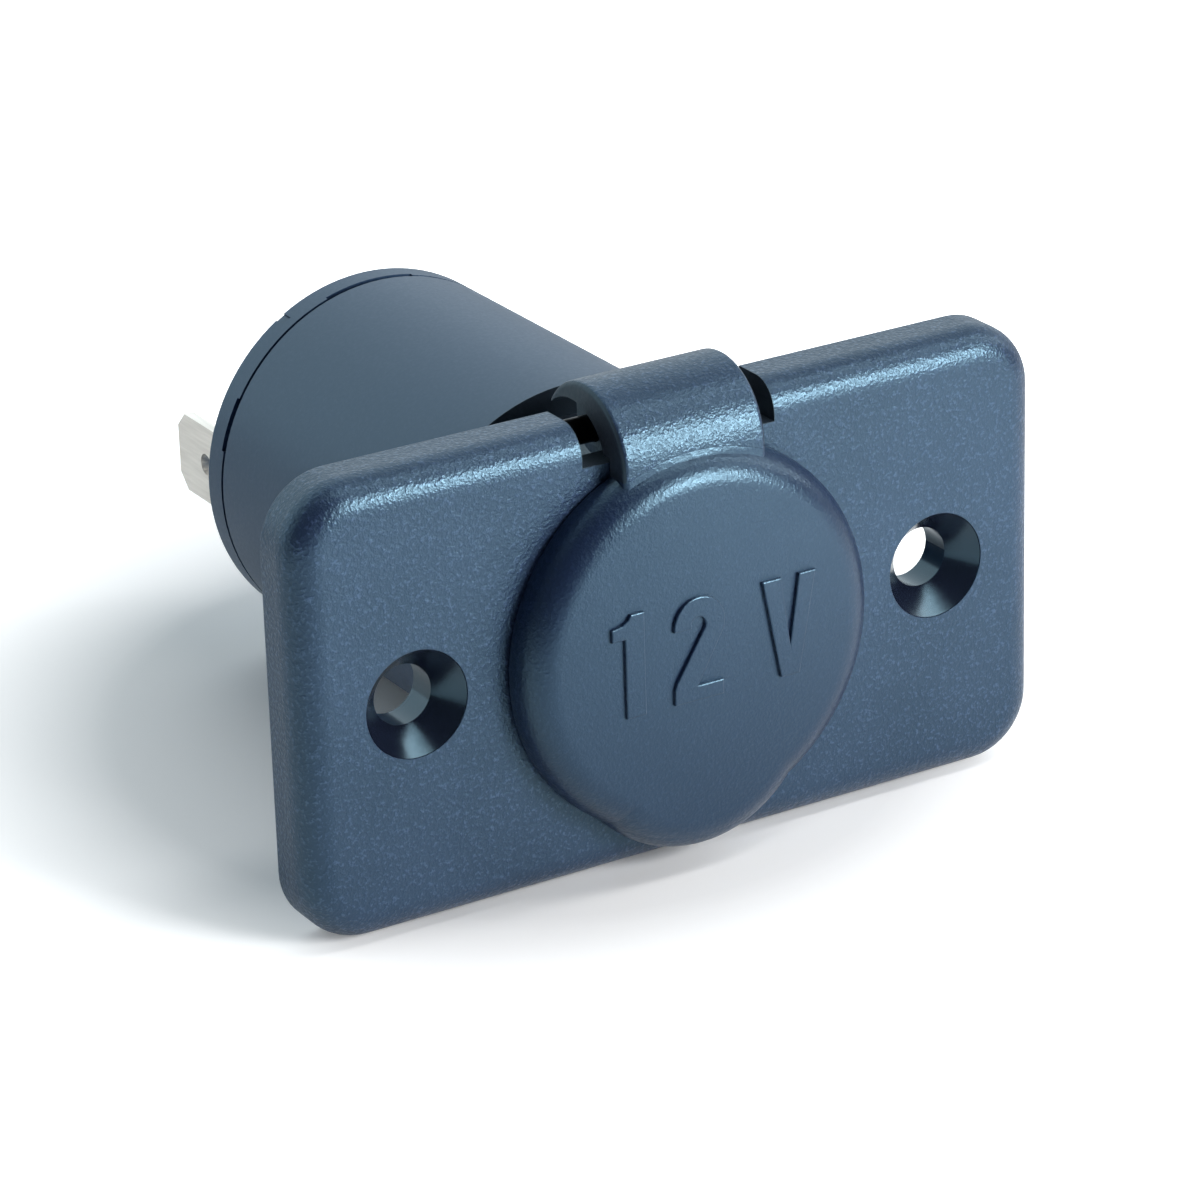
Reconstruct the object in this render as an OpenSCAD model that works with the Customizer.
// Panel socket for 12 volt accessories, with a sprung lid that hinges on a hood over the plate's top edge.
// X runs along the plate, +Y points behind the panel and +Z up. The origin lies on the socket's axis, midway
// between the two screw holes, on the plate's rear face, which is the face that meets the panel.

/* [Plate] */
// Width of the plate
plate_w = 61.2; // [58:0.2:72]
// Height of the plate
plate_h = 34; // [34:0.5:40]
// Thickness of the plate at its rim
plate_t = 4.5; // [4:0.1:6]
// Radius of the plate's corners
corner_r = 5; // [3:0.5:7]
// Rounding of the plate's front edge
edge_r = 2.3; // [1:0.1:2.4]
// Thickness of the front wall over the hollows in the plate's back
skin_t = 2.2; // [1.6:0.1:3]
// Thickness of the rim around those hollows
rim_t = 2; // [1.4:0.1:3]
// Thickness of the ribs between those hollows
rib_t = 1.4; // [0.8:0.1:2.5]

/* [Screw holes] */
// Distance between the two screw holes
screw_spacing = 43.1; // [42:0.1:46]
// Diameter of a screw hole
screw_hole_d = 4.5; // [3.5:0.1:5]
// Diameter of a countersink at the plate's face
countersink_d = 8; // [7:0.1:9]
// Depth of a countersink
countersink_depth = 2.1; // [1.5:0.1:2.5]
// Diameter of the boss around a screw hole, behind the plate
screw_boss_d = 9; // [8.6:0.1:9.6]

/* [Barrel] */
// Wall of the barrel around the contact shell
barrel_wall = 3.25; // [3:0.05:4]
// Length of the barrel behind the plate's rear face
barrel_len = 38; // [37:0.5:46]
// Wall of the barrel around the terminal chamber at its rear end
chamber_wall = 1.4; // [1.2:0.1:1.6]
// Length of the terminal chamber, behind the contact shell
chamber_len = 6.4; // [6:0.1:9]
// Height of the collar that centres the barrel in the panel's hole
collar_h = 0.35; // [0.3:0.05:0.6]
// Length of that collar
collar_len = 3.6; // [3.4:0.1:5]

/* [Rear cover] */
// Thickness of the rear cover's flange
cover_t = 2.5; // [2:0.1:3]
// Chamfer of the flange's rear edge
cover_edge = 0.15; // [0.1:0.05:0.4]
// Length of the cover's spigot inside the barrel
spigot_len = 4; // [3:0.5:5]
// Wall of the spigot
spigot_t = 1.2; // [1:0.1:1.4]
// Height of the bead that snaps into the barrel's groove
bead_h = 0.3; // [0.2:0.05:0.4]
// Width of the shadow gap between the barrel and the flange
seam_gap = 0.3; // [0.1:0.05:0.5]
// Radial width of the flange's seat on the barrel's end
seat_w = 0.6; // [0.4:0.1:0.8]
// Width of the gap along two stretches, where a tool pries the cover off
wide_gap = 0.6; // [0.4:0.05:0.8]
// Place of the upper wide stretch's middle, in degrees about the axis from the right
upper_angle = 93; // [80:1:100]
// Length of the upper wide stretch, in degrees
upper_turn = 30; // [16:1:40]
// Place of the side stretch's middle, in degrees about the axis from the right
side_angle = 158; // [145:1:170]
// Length of the side stretch, in degrees
side_turn = 17; // [10:1:30]
// Width of the key that crosses the gap at the end of the upper stretch
key_w = 1; // [0.8:0.1:2]
// Width of the small nick in the flange's rear edge
nick_w = 0.8; // [0.6:0.1:2]
// Depth of that nick
nick_depth = 0.2; // [0.15:0.05:0.5]
// Place of the nick, in degrees about the axis from the right
nick_angle = 121.5; // [115:0.5:130]
// Width of the posts that hold the contact shell
post_w = 2.4; // [2:0.1:3]
// Reach of those posts towards the axis
post_reach = 2.4; // [1.8:0.1:2.6]

/* [Socket bore] */
// Bore of the metal contact shell, which a plug of 21 mm enters
bore_d = 21; // [20.9:0.05:21.3]
// Wall of the contact shell
shell_t = 0.5; // [0.4:0.05:0.6]
// Length of the shell's neck, which holds the centre contact
neck_len = 5; // [4.6:0.1:6]
// Step from the bore down to the neck
neck_step = 1.3; // [1:0.1:1.6]
// Width of the plastic step between the shell's bore and the mouth
mouth_step = 0.25; // [0.2:0.05:0.4]
// Depth of the mouth
mouth_len = 1.5; // [1.2:0.1:2]
// Lead-in chamfer at the mouth
mouth_chamfer = 0.6; // [0.3:0.1:0.8]

/* [Hinge] */
// Place of the hinge pin behind the plate's rear face
pivot_y = 1; // [0.8:0.1:1.2]
// Height of the hinge pin over the barrel's top
pivot_over = 0.3; // [0.2:0.05:0.5]
// Diameter of the hinge pin
pin_d = 2; // [1.6:0.1:2.2]
// Width of the notch in the plate's top edge
notch_w = 15.7; // [15:0.1:17]
// Depth of the notch's floor below the hinge pin
notch_below = 0.4; // [0.3:0.05:0.5]
// Thickness of the ear that holds an end of the pin
ear_t = 3; // [2:0.2:4]
// Radius of the ear around the pin
ear_r = 1.7; // [1.5:0.05:1.7]
// Reach of the hinge pocket behind the plate
pocket_len = 10.2; // [9:0.1:12]
// Wall between the pocket's floor and the contact shell
pocket_wall = 0.85; // [0.8:0.05:1]
// Radius of the cradle under the knuckles
cradle_r = 2.4; // [2.35:0.05:2.5]

/* [Lid] */
// Width of the lid's rim outside its sealing ring
lid_rim = 1.5; // [1:0.1:2]
// Thickness of the lid's disc
lid_t = 2.9; // [2.7:0.1:3.4]
// Rounding of the disc's front edge
lid_edge_r = 2.5; // [1:0.1:2.5]
// Gap between the lid and the plate
lid_gap = 0.2; // [0.15:0.05:0.3]
// Diameter of the thumb tab's curve
tab_d = 19.5; // [17:0.5:21]
// Reach of the thumb tab below the disc
tab_reach = 1.45; // [1:0.05:2]
// Depth of the hollow in the lid's back
lid_hollow = 1.2; // [0.8:0.1:1.4]

/* [Hood] */
// Width of the hood
hood_w = 11.6; // [11.2:0.1:12.2]
// Outer radius of the hood
hood_r = 5.4; // [5.3:0.05:5.6]
// Distance of the hood's centre in front of the pin
hood_ahead = 2.25; // [2.1:0.05:2.4]
// Distance of the hood's centre below the pin
hood_below = 1.05; // [0.95:0.05:1.15]
// Radius of the hood's hollow
hollow_r = 4.45; // [4.3:0.05:4.5]
// Distance of the hollow's centre in front of the pin
hollow_ahead = 0.8; // [0.7:0.05:0.9]
// Distance of the hollow's centre below the pin
hollow_below = 1.65; // [1.6:0.05:1.75]
// Reach of the hood behind the pin
hood_behind = 2.05; // [1.8:0.05:2.1]
// Rounding of the hood's ends
hood_edge_r = 0.4; // [0.3:0.1:0.8]
// Outer radius of a knuckle around the pin
knuckle_r = 2; // [1.9:0.05:2.1]
// Width of a knuckle
knuckle_w = 1.5; // [1.2:0.1:1.8]

/* [Spring] */
// Wire diameter of the closing spring
wire_d = 0.6; // [0.5:0.05:0.65]
// Mean radius of the spring's coil
coil_r = 1.6; // [1.5:0.05:1.65]
// Length of the coil
coil_len = 3.5; // [3:0.1:4]
// Whole turns of the coil, before the last half turn
coil_turns = 4; // [3:1:5]

/* [Seal] */
// Distance from the mouth's edge to the lid's sealing ring
seal_out = 0.55; // [0.4:0.05:0.8]
// Width of the sealing ring
seal_w = 1.6; // [1.2:0.1:1.8]
// Gap between the closed lid's sealing ring and the plate
seal_gap = 0.05; // [0.05:0.01:0.1]

/* [Contacts] */
// Width of a blade terminal
blade_w = 6.3; // [5.8:0.1:6.3]
// Thickness of a blade terminal
blade_t = 0.8; // [0.6:0.1:1]
// Reach of the blades behind the cover
blade_reach = 8.5; // [7:0.5:10]
// Chamfer at a blade's tip
blade_chamfer = 1.2; // [0.6:0.1:1.6]
// Diameter of the latching hole in a blade
blade_hole_d = 1.7; // [1.4:0.1:2]
// Distance from the latching hole to the blade's tip
blade_hole_back = 4.5; // [3:0.1:4.6]
// Distance from the negative blade's middle to the chamber's wall
negative_in = 0.9; // [0.8:0.05:1.1]
// Place of the positive blade's middle, right of the axis
positive_x = 7; // [6.6:0.1:8]
// Diameter of the centre contact
contact_d = 8; // [7:0.2:9]
// Thickness of the centre contact
contact_t = 0.8; // [0.6:0.1:1]
// Diameter of the insulating discs
disc_d = 10.8; // [10:0.2:11]
// Thickness of the disc inside the shell
inner_disc_t = 1.7; // [1.4:0.1:2]
// Thickness of the disc behind the shell
outer_disc_t = 1.2; // [1:0.1:1.5]
// Diameter of the centre rivet's shank
rivet_d = 3; // [2.6:0.1:3.2]
// Diameter of the centre rivet's heads
rivet_head_d = 5; // [4.6:0.1:5.4]
// Height of the centre rivet's heads
rivet_head_h = 0.7; // [0.5:0.1:0.9]
// Wall of the insulating bush around the rivet's shank
bush_t = 0.8; // [0.6:0.1:1]
// Thickness of the washer under the rivet's rear head
washer_t = 0.6; // [0.5:0.1:0.8]
// Diameter of that washer
washer_d = 6; // [5.6:0.1:6.4]
// Height of the spring washer when it is pressed together
spring_washer_t = 0.7; // [0.5:0.1:0.9]
// Diameter of the small rivets that hold the negative terminal
small_rivet_d = 1.8; // [1.6:0.1:2]
// Distance from a small rivet's middle to the terminal's edge
small_rivet_edge = 1.35; // [1.3:0.05:1.6]
// Place of the small rivets, left of the axis
small_rivet_x = 7.2; // [7:0.1:7.5]

/* [Fits] */
// Radial clearance of the pin in the lid's knuckles
running_gap = 0.06; // [0.04:0.01:0.08]
// Radial clearance of the pin in its ears
pin_gap = 0.01; // [0.01:0.01:0.02]
// Clearance between pieces that are pushed together
push_gap = 0.05; // [0.03:0.01:0.08]
// Clearance between the lid and what it swings past
swing_gap = 0.3; // [0.25:0.05:0.3]

/* [Hidden] */
$fn = 64;
front_y = -plate_t;
shell_front = front_y + mouth_len + push_gap;
shell_back = barrel_len - chamber_len;
shell_floor = shell_back - shell_t;
chamber_front = shell_back - 2 * shell_t;
shell_r = bore_d / 2 + shell_t;
seat_r = shell_r + push_gap;
barrel_r = seat_r + barrel_wall;
chamber_r = barrel_r - chamber_wall;
mouth_r = bore_d / 2 + mouth_step;
spigot_r = chamber_r - push_gap;
cover_back = barrel_len + cover_t;
key_angle = upper_angle - upper_turn / 2 - 2 * asin(key_w / 2 / barrel_r);
blade_tip = cover_back + blade_reach;
lid_back = front_y - lid_gap;
lid_front = lid_back - lid_t;
seal_inner = mouth_r + seal_out;
seal_outer = seal_inner + seal_w;
lid_r = seal_outer + lid_rim;
tab_r = tab_d / 2;
tab_z = tab_r - lid_r - tab_reach;
pivot_z = barrel_r + pivot_over;
notch_floor = pivot_z - notch_below;
pocket_floor = seat_r + pocket_wall;
pocket_front = front_y + skin_t;
negative_x = chamber_r - negative_in;
small_rivet_z = blade_w / 2 - small_rivet_edge;
hood_y = pivot_y - hood_ahead;
hood_z = pivot_z - hood_below;
hood_front = hood_y - hood_r;
web_z = notch_floor + swing_gap;
knuckle_in = coil_len / 2 + wire_d / 2 + swing_gap / 2;
knuckle_out = knuckle_in + knuckle_w;
pin_r = pin_d / 2;
pin_half = notch_w / 2 + ear_t;
washer_front = shell_back + outer_disc_t + blade_t;
rivet_back = washer_front + spring_washer_t + washer_t;
contact_front = shell_floor - inner_disc_t - contact_t;
cut = 1;

// A flat outline drawn in X and Z, given depth from y0 to y1.
module slab(y0, y1) {
  translate([0, y1, 0]) rotate([90, 0, 0]) linear_extrude(y1 - y0) children();
}

// A flat outline drawn in Y and Z, given width from x0 to x1.
module bar(x0, x1) {
  translate([x0, 0, 0]) rotate([90, 0, 90]) linear_extrude(x1 - x0) children();
}

// An outline of radius and Y, turned about the socket's axis.
module turned() {
  rotate([-90, 0, 0]) rotate_extrude() children();
}

// A ring about the socket's axis, or a disc where inner is 0.
module ring(outer, inner, y0, y1) {
  turned() translate([inner, y0]) square([outer - inner, y1 - y0]);
}

// A straight rod along X, for the pin and its holes.
module rod_x(r, x0, x1) {
  translate([x0, pivot_y, pivot_z]) rotate([0, 90, 0]) cylinder(r = r, h = x1 - x0);
}

// A straight rod along Y.
module rod_y(r, x, z, y0, y1) {
  translate([x, y0, z]) rotate([-90, 0, 0]) cylinder(r = r, h = y1 - y0);
}

// Half a section from the middle line outwards, with its outer front corner rounded.
module edged(reach, depth, r) intersection() {
  square([reach, depth]);
  union() {
    square([reach - r, depth]);
    translate([0, r]) square([reach, depth - r]);
    translate([reach - r, r]) circle(r);
  }
}

// The same section on both sides of the middle line.
module edged_both(reach, depth, r) {
  edged(reach, depth, r);
  mirror([1, 0]) edged(reach, depth, r);
}

// A round plate about a line along Y, with a rounded front edge.
module puck(r, z, y0, depth, round_r) {
  translate([0, y0, z]) rotate([-90, 0, 0]) rotate_extrude() edged(r, depth, round_r);
}

// The plate: two crossing bars with rounded front edges, and a quarter of a puck in each corner.
module plate() {
  span_x = plate_w / 2 - corner_r;
  span_z = plate_h / 2 - corner_r;
  translate([-span_x, front_y, 0]) rotate([0, 90, 0]) linear_extrude(2 * span_x)
    edged_both(plate_h / 2, plate_t, edge_r);
  translate([0, front_y, -span_z]) linear_extrude(2 * span_z)
    edged_both(plate_w / 2, plate_t, edge_r);
  for (side = [0, 1], top = [0, 1])
    mirror([side, 0, 0]) mirror([0, 0, top]) translate([span_x, front_y, -span_z])
      rotate([-90, 0, 0]) rotate_extrude(angle = 90) edged(corner_r, plate_t, edge_r);
}

// An ear behind the plate that holds one end of the pin and runs down into the barrel.
module ear() {
  bar(notch_w / 2, notch_w / 2 + ear_t) {
    translate([pivot_y, pivot_z]) circle(ear_r);
    translate([-cut, 0]) square([cut + pivot_y, pivot_z + ear_r]);
    translate([-cut, 0]) square([cut + pivot_y + ear_r, pivot_z]);
  }
}

// The hollows in the plate's back, on the right side: the rim, the boss and three ribs are left standing.
module back_hollow() {
  reach = plate_w / 2 - rim_t;
  half = plate_h / 2 - rim_t;
  start = barrel_r + rim_t;
  slab(front_y + skin_t, cut) difference() {
    translate([start, -half]) square([reach - start, 2 * half]);
    translate([screw_spacing / 2, 0]) circle(d = screw_boss_d);
    translate([start - cut, -rib_t / 2]) square([reach - start + 2 * cut, rib_t]);
    translate([(screw_spacing - rib_t) / 2, -half - cut]) square([rib_t, 2 * (half + cut)]);
    for (top = [-1, 1]) translate([reach, top * half]) circle(corner_r - rim_t);
  }
}

// A screw hole with its countersink.
module screw_hole() {
  translate([screw_spacing / 2, 0, 0]) rotate([-90, 0, 0]) rotate_extrude() polygon([
    [0, front_y - cut], [countersink_d / 2, front_y - cut], [countersink_d / 2, front_y],
    [screw_hole_d / 2, front_y + countersink_depth], [screw_hole_d / 2, cut], [0, cut]]);
}

// Everything that is bored out of the housing along the socket's axis.
module cavity() {
  groove_y = barrel_len - spigot_len / 2;
  turned() polygon([
    [0, front_y - cut], [mouth_r + mouth_chamfer, front_y - cut], [mouth_r + mouth_chamfer, front_y],
    [mouth_r, front_y + mouth_chamfer], [mouth_r, front_y + mouth_len], [seat_r, front_y + mouth_len],
    [seat_r, chamber_front - chamber_r + seat_r], [chamber_r, chamber_front],
    [chamber_r, groove_y - 2 * bead_h], [chamber_r + bead_h, groove_y - bead_h],
    [chamber_r + bead_h, groove_y + bead_h], [chamber_r, groove_y + 2 * bead_h],
    [chamber_r, barrel_len + cut], [0, barrel_len + cut]]);
}

// The notch in the plate's top edge, with the cradle and the pocket in which the hood's rear edge turns.
module hinge_room() {
  half = notch_w / 2;
  top = plate_h / 2 + cut;
  bar(-half, half) {
    translate([front_y - cut, notch_floor]) square([plate_t + 2 * cut, top - notch_floor]);
    translate([pocket_front, pocket_floor]) square([pocket_len - pocket_front, top - pocket_floor]);
  }
  reach = hood_w / 2 + swing_gap;
  rod_x(cradle_r, -reach, reach);
}

module housing() color("#3f5166") difference() {
  union() {
    plate();
    ring(barrel_r, 0, front_y + skin_t, barrel_len);
    ring(barrel_r + collar_h, 0, front_y + skin_t, collar_len);
    for (side = [0, 1]) mirror([side, 0, 0]) ear();
  }
  cavity();
  hinge_room();
  for (side = [0, 1]) mirror([side, 0, 0]) {
    back_hollow();
    screw_hole();
  }
  rod_x(pin_r + pin_gap, -pin_half - cut, pin_half + cut);
}

// The cover that snaps into the barrel's end, with posts that hold the shell and slots for the blades.
module rear_cover() color("#384759") difference() {
  union() {
    turned() polygon([
      [0, barrel_len], [spigot_r - spigot_t, barrel_len], [spigot_r - spigot_t, barrel_len - spigot_len],
      [spigot_r, barrel_len - spigot_len],
      [spigot_r, barrel_len - spigot_len / 2 - bead_h],
      [spigot_r + bead_h, barrel_len - spigot_len / 2],
      [spigot_r, barrel_len - spigot_len / 2 + bead_h],
      [spigot_r, barrel_len], [barrel_r - seat_w, barrel_len], [barrel_r - seat_w, barrel_len + seam_gap],
      [barrel_r, barrel_len + seam_gap], [barrel_r, cover_back - cover_edge],
      [barrel_r - cover_edge, cover_back],
      [0, cover_back]]);
    rotate([0, -key_angle, 0]) translate([barrel_r - seat_w - push_gap, barrel_len, -key_w / 2])
      cube([seat_w, seam_gap + push_gap, key_w]);
    for (angle = [60, 120, 240, 300]) rotate([0, angle, 0])
      translate([shell_r - post_reach, shell_back + push_gap, -post_w / 2])
        cube([post_reach, barrel_len - shell_back, post_w]);
  }
  blade_slot(-negative_x);
  blade_slot(positive_x);
  translate([-barrel_r, barrel_len - spigot_len - cut, -blade_w / 2 - swing_gap])
    cube([barrel_r - negative_x + blade_t / 2 + swing_gap, spigot_len + cut, blade_w + 2 * swing_gap]);
  wide_stretch(upper_angle, upper_turn);
  wide_stretch(side_angle, side_turn);
  rotate([0, -nick_angle, 0])
    translate([barrel_r - nick_depth, barrel_len + cover_t / 2, -nick_w / 2]) cube([cut, cover_t, nick_w]);
}

// A stretch of the flange's front edge that is cut back to the wide gap.
module wide_stretch(angle, turn) {
  rotate([0, -angle - turn / 2, 0]) rotate([-90, 0, 0]) rotate_extrude(angle = turn)
    translate([barrel_r - seat_w + push_gap, barrel_len + seam_gap - cut])
      square([seat_w + cut, cut + wide_gap - seam_gap]);
}

// A slot through the cover for a blade whose middle is at x.
module blade_slot(x) {
  translate([x - blade_t / 2 - push_gap, barrel_len - cut, -blade_w / 2 - push_gap])
    cube([blade_t + 2 * push_gap, cover_t + 2 * cut, blade_w + 2 * push_gap]);
}

// The round section of the hood about its own axis, with rounded ends.
module hood_round() {
  translate([0, hood_y, hood_z]) rotate([0, 90, 0]) rotate_extrude() {
    translate([0, -hood_w / 2 + hood_edge_r]) square([hood_r, hood_w - 2 * hood_edge_r]);
    translate([0, -hood_w / 2]) square([hood_r - hood_edge_r, hood_w]);
    for (side = [-1, 1]) translate([hood_r - hood_edge_r, side * (hood_w / 2 - hood_edge_r)])
      circle(hood_edge_r);
  }
}

// The neck that runs from the hood down into the disc.
module neck() {
  translate([0, hood_front, 0]) linear_extrude(hood_z)
    edged_both(hood_w / 2, lid_back - hood_front, hood_edge_r);
}

// The hood with its neck, open below and behind, and hollow but for the two knuckle webs.
module hood() {
  difference() {
    union() {
      difference() {
        hood_round();
        bar(-hood_w, hood_w) {
          translate([hood_y - 2 * hood_r, hood_z - 2 * hood_r]) square([4 * hood_r, 2 * hood_r]);
          translate([lid_back, 0]) square([3 * hood_r, web_z]);
          translate([pivot_y + hood_behind, 0]) square([2 * hood_r, 2 * pivot_z]);
        }
      }
      neck();
    }
    for (side = [0, 1]) mirror([side, 0, 0]) {
      hollow(knuckle_out, hood_w);
    }
    hollow(-knuckle_in, knuckle_in);
    bar(-knuckle_out - cut, knuckle_out + cut) difference() {
      translate([pivot_y, pivot_z - 2 * knuckle_r]) square([hood_r, 2 * knuckle_r]);
      translate([pivot_y, pivot_z]) circle(knuckle_r);
    }
  }
  for (side = [0, 1]) mirror([side, 0, 0]) rod_x(knuckle_r, knuckle_in, knuckle_out);
}

// A stretch of the hood's hollow.
module hollow(x0, x1) {
  translate([x0, pivot_y - hollow_ahead, pivot_z - hollow_below]) rotate([0, 90, 0])
    cylinder(r = hollow_r, h = x1 - x0);
}

module lid() color("#46586d") difference() {
  union() {
    puck(lid_r, 0, lid_front, lid_t, lid_edge_r);
    puck(tab_r, tab_z, lid_front, lid_t, lid_edge_r);
    hood();
  }
  ring(seal_inner - seal_w / 2, 0, lid_back - lid_hollow, lid_back + cut);
  ring(seal_outer + push_gap, seal_inner - push_gap, lid_back - lid_hollow, lid_back + cut);
  rod_x(pin_r + running_gap, -knuckle_out - cut, knuckle_out + cut);
}

// A rubber ring in the lid's groove, with a rounded lip that meets the plate around the mouth.
module lid_seal() color("#202428")
  ring(seal_outer, seal_inner, lid_back - lid_hollow + push_gap, front_y - seal_gap);

module hinge_pin() color("#b9bcc0")
  rod_x(pin_r, -pin_half, pin_half);

// Points of the spring's wire: a short leg under the hood's rear edge, the coil, and a long leg on the floor.
end_turn = 360 * coil_turns + 175;
coil_steps = 20 * coil_turns + 10;
lift_y = pivot_y + hood_behind - wire_d;
lift_z = pivot_z - hollow_below - wire_d / 2 - push_gap
  + sqrt(hollow_r * hollow_r - (hood_behind - wire_d + hollow_ahead) * (hood_behind - wire_d + hollow_ahead));
leg_end_y = pocket_len - wire_d;
leg_end_z = pocket_floor + push_gap + wire_d / 2;
function on_coil(a) = [
  coil_len * (a / end_turn - 0.5), pivot_y - coil_r * sin(a), pivot_z + coil_r * cos(a)];
coil_points = [for (k = [0 : coil_steps]) on_coil(end_turn * k / coil_steps)];
wire_points = concat(
  [[-coil_len / 2, lift_y, lift_z]],
  coil_points,
  [[coil_len / 2, leg_end_y, leg_end_z]]);

// A round wire of a few sides along a list of points, with rings square to the path.
module wire(points, r, sides) {
  count = len(points);
  function ahead(k) = points[min(k + 1, count - 1)] - points[max(k - 1, 0)];
  function unit(v) = v / norm(v);
  function across(k) = unit(cross(ahead(k), [1, 0, 0]));
  function upward(k) = unit(cross(ahead(k), across(k)));
  corners = [for (k = [0 : count - 1], s = [0 : sides - 1])
    points[k] + r * (cos(360 * s / sides) * across(k) + sin(360 * s / sides) * upward(k))];
  walls = [for (k = [0 : count - 2], s = [0 : sides - 1]) let (next = (s + 1) % sides)
    [k * sides + s, k * sides + next, (k + 1) * sides + next, (k + 1) * sides + s]];
  start = [for (s = [sides - 1 : -1 : 0]) s];
  end = [for (s = [0 : sides - 1]) (count - 1) * sides + s];
  polyhedron(corners, concat([start], walls, [end]));
}

module hinge_spring() color("#8d9196")
  wire(wire_points, wire_d / 2, 8);

// The drawn metal shell, open in front, with a narrower neck and a hole in its bottom for the rivet's bush.
module contact_shell() color("#c3c0b8") difference() {
  bore_r = bore_d / 2;
  hole_r = rivet_d / 2 + bush_t + 2 * push_gap;
  neck_y = shell_back - neck_len;
  turned() polygon([
    [bore_r, shell_front], [shell_r, shell_front], [shell_r, neck_y - neck_step],
    [shell_r - neck_step, neck_y], [shell_r - neck_step, shell_back], [hole_r, shell_back],
    [hole_r, shell_floor], [bore_r - neck_step, shell_floor], [bore_r - neck_step, neck_y],
    [bore_r, neck_y - neck_step]]);
  for (side = [-1, 1]) rod_y(small_rivet_d / 2 + push_gap, -small_rivet_x, side * small_rivet_z,
    shell_floor - cut, shell_back + cut);
}

// The outline of a blade seen from the side, in Y and Z, from start to its chamfered tip.
module blade_outline(start) {
  difference() {
    translate([start, -blade_w / 2]) square([blade_tip - start, blade_w]);
    translate([blade_tip - blade_hole_back, 0]) circle(d = blade_hole_d);
    for (side = [-1, 1]) translate([blade_tip, side * blade_w / 2]) rotate(45)
      square(blade_chamfer * sqrt(2), center = true);
  }
}

module negative_terminal() color("#cfcac4") difference() {
  union() {
    translate([-negative_x - blade_t / 2, shell_back + push_gap, -blade_w / 2])
      cube([negative_x - disc_d / 2 + blade_t / 2 - swing_gap, blade_t, blade_w]);
    bar(-negative_x - blade_t / 2, -negative_x + blade_t / 2) blade_outline(shell_back + push_gap);
  }
  for (side = [-1, 1]) rod_y(small_rivet_d / 2 + push_gap, -small_rivet_x, side * small_rivet_z,
    shell_back - cut, shell_back + blade_t + cut);
}

// Two solid rivets through the shell's bottom and the negative terminal, with low heads on both sides.
module small_rivets() color("#b8b4ae") {
  head_r = small_rivet_d * 0.75;
  head_h = small_rivet_d / 4;
  back = shell_back + push_gap + blade_t;
  for (side = [-1, 1]) {
    z = side * small_rivet_z;
    rod_y(small_rivet_d / 2, -small_rivet_x, z, shell_floor - head_h - push_gap, back + head_h + push_gap);
    rod_y(head_r, -small_rivet_x, z, shell_floor - head_h - push_gap, shell_floor - push_gap);
    rod_y(head_r, -small_rivet_x, z, back + push_gap, back + head_h + push_gap);
  }
}

module inner_insulator() color("#6a4a35")
  ring(disc_d / 2, rivet_d / 2 + push_gap, shell_floor - inner_disc_t, shell_floor - push_gap);

module outer_insulator() color("#6a4a35")
  ring(disc_d / 2, rivet_d / 2 + push_gap, shell_back + push_gap, shell_back + outer_disc_t);

// A sleeve that keeps the centre rivet off the edge of the hole in the shell's bottom.
module insulating_bush() color("#d8d2c2")
  ring(rivet_d / 2 + bush_t, rivet_d / 2 + push_gap, shell_floor, shell_back);

// The brass contact that a plug's tip presses on, dished in the middle for the rivet's head.
module centre_contact() color("#c9a24d") {
  hole_r = rivet_d / 2 + push_gap;
  turned() polygon([
    [hole_r, contact_front], [contact_d / 2 - contact_t / 2, contact_front],
    [contact_d / 2, contact_front + contact_t / 2], [contact_d / 2, contact_front + contact_t - push_gap],
    [hole_r, contact_front + contact_t - push_gap]]);
}

// The hollow rivet that clamps contact, discs, shell and positive terminal, with its rear end rolled over.
module centre_rivet() color("#c9a24d") {
  shank_r = rivet_d / 2;
  head_r = rivet_head_d / 2;
  turned() polygon([
    [0, contact_front - rivet_head_h], [shank_r, contact_front - rivet_head_h],
    [head_r, contact_front - rivet_head_h / 3], [head_r, contact_front - push_gap],
    [shank_r, contact_front - push_gap], [shank_r, rivet_back + push_gap], [head_r, rivet_back + push_gap],
    [head_r, rivet_back + rivet_head_h / 2], [shank_r + push_gap, rivet_back + rivet_head_h],
    [shank_r / 2, rivet_back + rivet_head_h], [shank_r / 2, shell_back], [0, shell_back]]);
}

module positive_terminal() color("#cfcac4") {
  plate_front = shell_back + outer_disc_t + push_gap;
  difference() {
    union() {
      slab(plate_front, plate_front + blade_t) {
        circle(d = washer_d);
        translate([0, -blade_w / 2]) square([positive_x + blade_t / 2, blade_w]);
      }
      bar(positive_x - blade_t / 2, positive_x + blade_t / 2) blade_outline(plate_front);
    }
    rod_y(rivet_d / 2 + push_gap, 0, 0, plate_front - cut, plate_front + blade_t + cut);
  }
}

// A dished washer that keeps pressure on the riveted stack.
module spring_washer() color("#8d9196") {
  back = washer_front + spring_washer_t;
  wall = spring_washer_t / 2;
  front = washer_front + 2 * push_gap;
  turned() polygon([
    [rivet_d / 2 + push_gap, back - wall], [washer_d / 2, front], [washer_d / 2, front + wall],
    [rivet_d / 2 + push_gap, back]]);
}

module rivet_washer() color("#c9a24d") {
  front = washer_front + spring_washer_t + push_gap;
  ring(washer_d / 2, rivet_d / 2 + push_gap, front, front + washer_t - push_gap);
}

housing();
rear_cover();
lid();
lid_seal();
hinge_pin();
hinge_spring();
contact_shell();
negative_terminal();
small_rivets();
inner_insulator();
outer_insulator();
insulating_bush();
centre_contact();
centre_rivet();
positive_terminal();
spring_washer();
rivet_washer();
